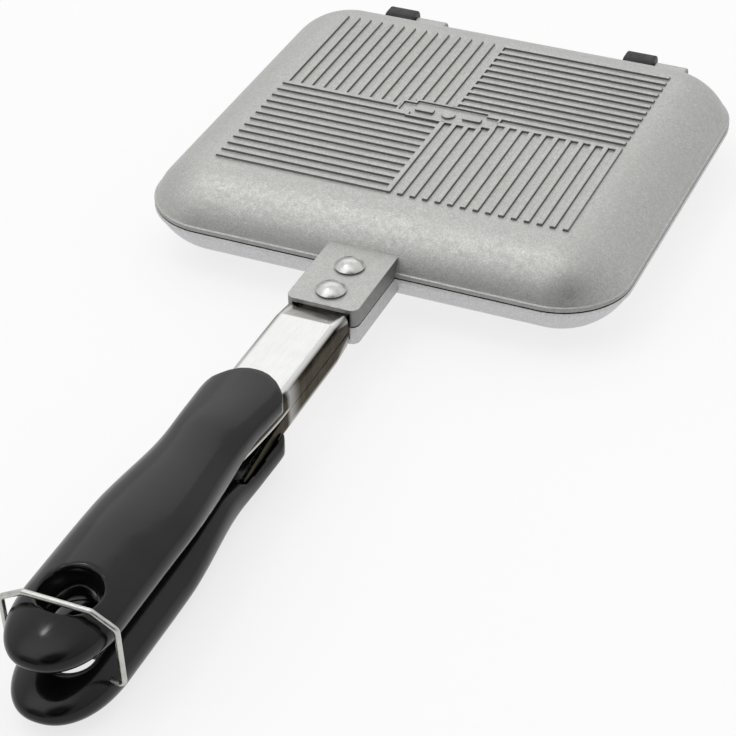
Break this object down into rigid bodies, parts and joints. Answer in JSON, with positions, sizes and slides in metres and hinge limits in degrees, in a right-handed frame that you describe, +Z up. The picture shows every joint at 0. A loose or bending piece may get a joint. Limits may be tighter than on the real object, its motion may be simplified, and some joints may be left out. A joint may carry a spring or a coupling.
{
  "type": "pie iron",
  "caption": "Hinged pie iron: domed cast pans with a ribbed relief, bent steel necks, long black grips with hanging holes and a wire bail that latches the grips together.",
  "frame": {"origin": "middle of the lower pan's ribbed face, on which the iron rests", "axes": "+X across the pans, +Y from the grips towards the hinge, +Z up from the lower pan to the upper pan"},
  "size_m": [0.1536, 0.3445, 0.0338],
  "materials": {
    "cast_aluminium": "satin casting, black non-stick film inside",
    "stainless_sheet": "polished sheet",
    "rivet_steel": "polished",
    "phenolic": "gloss",
    "screw_steel": "plain",
    "pin_steel": "plain",
    "bail_wire": "bright drawn wire"
  },
  "bodies": {
    "lower_half": {"lower_pan": "cast_aluminium", "lower_neck": "stainless_sheet", "lower_neck_rivets": "rivet_steel", "lower_grip": "phenolic", "lower_grip_screws": "screw_steel"},
    "upper_half": {"upper_pan": "cast_aluminium", "hinge_pins": "pin_steel", "upper_neck": "stainless_sheet", "upper_neck_rivets": "rivet_steel", "upper_grip": "phenolic", "upper_grip_screws": "screw_steel"},
    "bail": {"latch_bail": "bail_wire"}
  },
  "joints": [
    {"name": "pan_hinge", "type": "hinge", "parent": "lower_half", "child": "upper_half", "pos_m": [0, 0.0775, 0.0157], "axis": [-1, 0, 0], "range_deg": [0, 180]},
    {"name": "bail_swing", "type": "hinge", "parent": "lower_half", "child": "bail", "pos_m": [0, -0.246, 0.0099], "axis": [1, 0, 0], "range_deg": [0, 180]}
  ]
}
